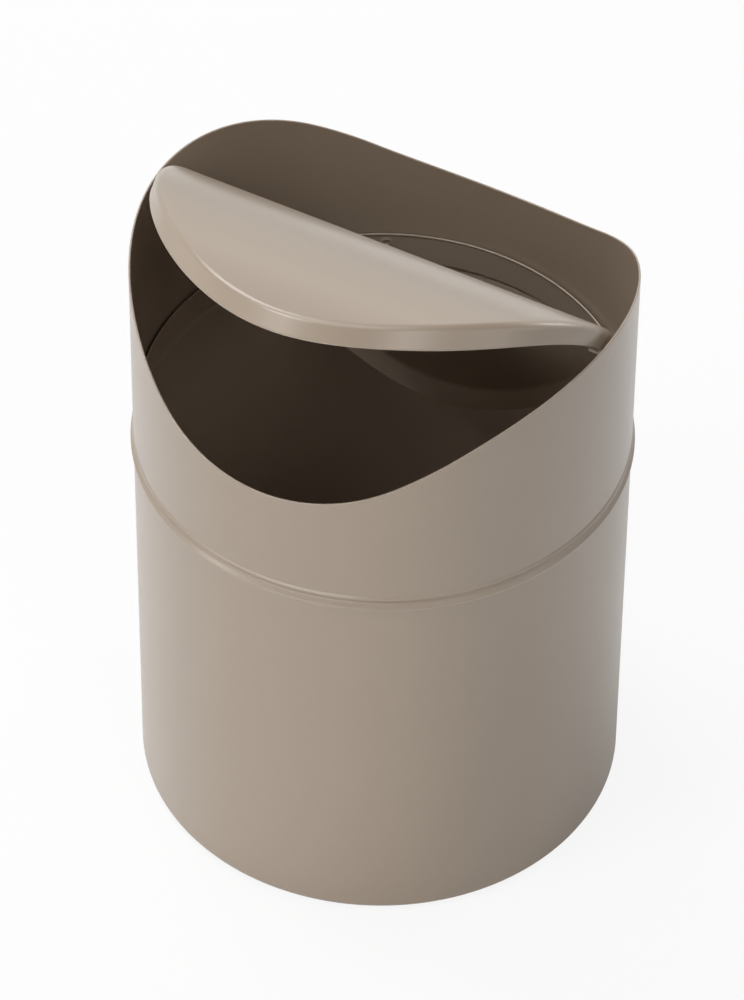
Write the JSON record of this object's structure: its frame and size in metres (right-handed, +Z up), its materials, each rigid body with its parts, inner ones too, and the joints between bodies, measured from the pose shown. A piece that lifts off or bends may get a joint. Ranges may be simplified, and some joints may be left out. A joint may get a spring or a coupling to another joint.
{
  "type": "countertop trash can with swing lid",
  "caption": "Small round sheet-steel bin for a table or worktop: a can, a lift-off hood with a saddle-shaped rim, and a curved lid that swings in it on studs.",
  "frame": {"origin": "on the surface it stands on, under the centre of the can", "axes": "+Z up along the can, +X along the lid's pivot line to the right, -Y towards the raised half of the lid"},
  "size_m": [0.1214, 0.1214, 0.1893],
  "materials": {
    "paint": "satin taupe powder coat on sheet steel",
    "bush_nylon": "natural nylon",
    "foot_rubber": "soft matt black rubber"
  },
  "bodies": {
    "can": {"can_wall": "paint", "base_plate": "paint", "foot_front": "foot_rubber", "foot_right": "foot_rubber", "foot_back": "foot_rubber", "foot_left": "foot_rubber"},
    "hood": {"hood_wall": "paint", "pivot_stud_right": "paint", "pivot_stud_left": "paint", "pivot_bush_right": "bush_nylon", "pivot_bush_left": "bush_nylon"},
    "lid": {"swing_lid": "paint"}
  },
  "joints": [
    {"name": "hood_lift", "type": "slide", "parent": "can", "child": "hood", "axis": [0, 0, 1], "range_m": [0, 0.05]},
    {"name": "lid_swing", "type": "hinge", "parent": "hood", "child": "lid", "pos_m": [0, 0, 0.1589], "axis": [1, 0, 0], "range_deg": [-32.3, 127.7]}
  ]
}
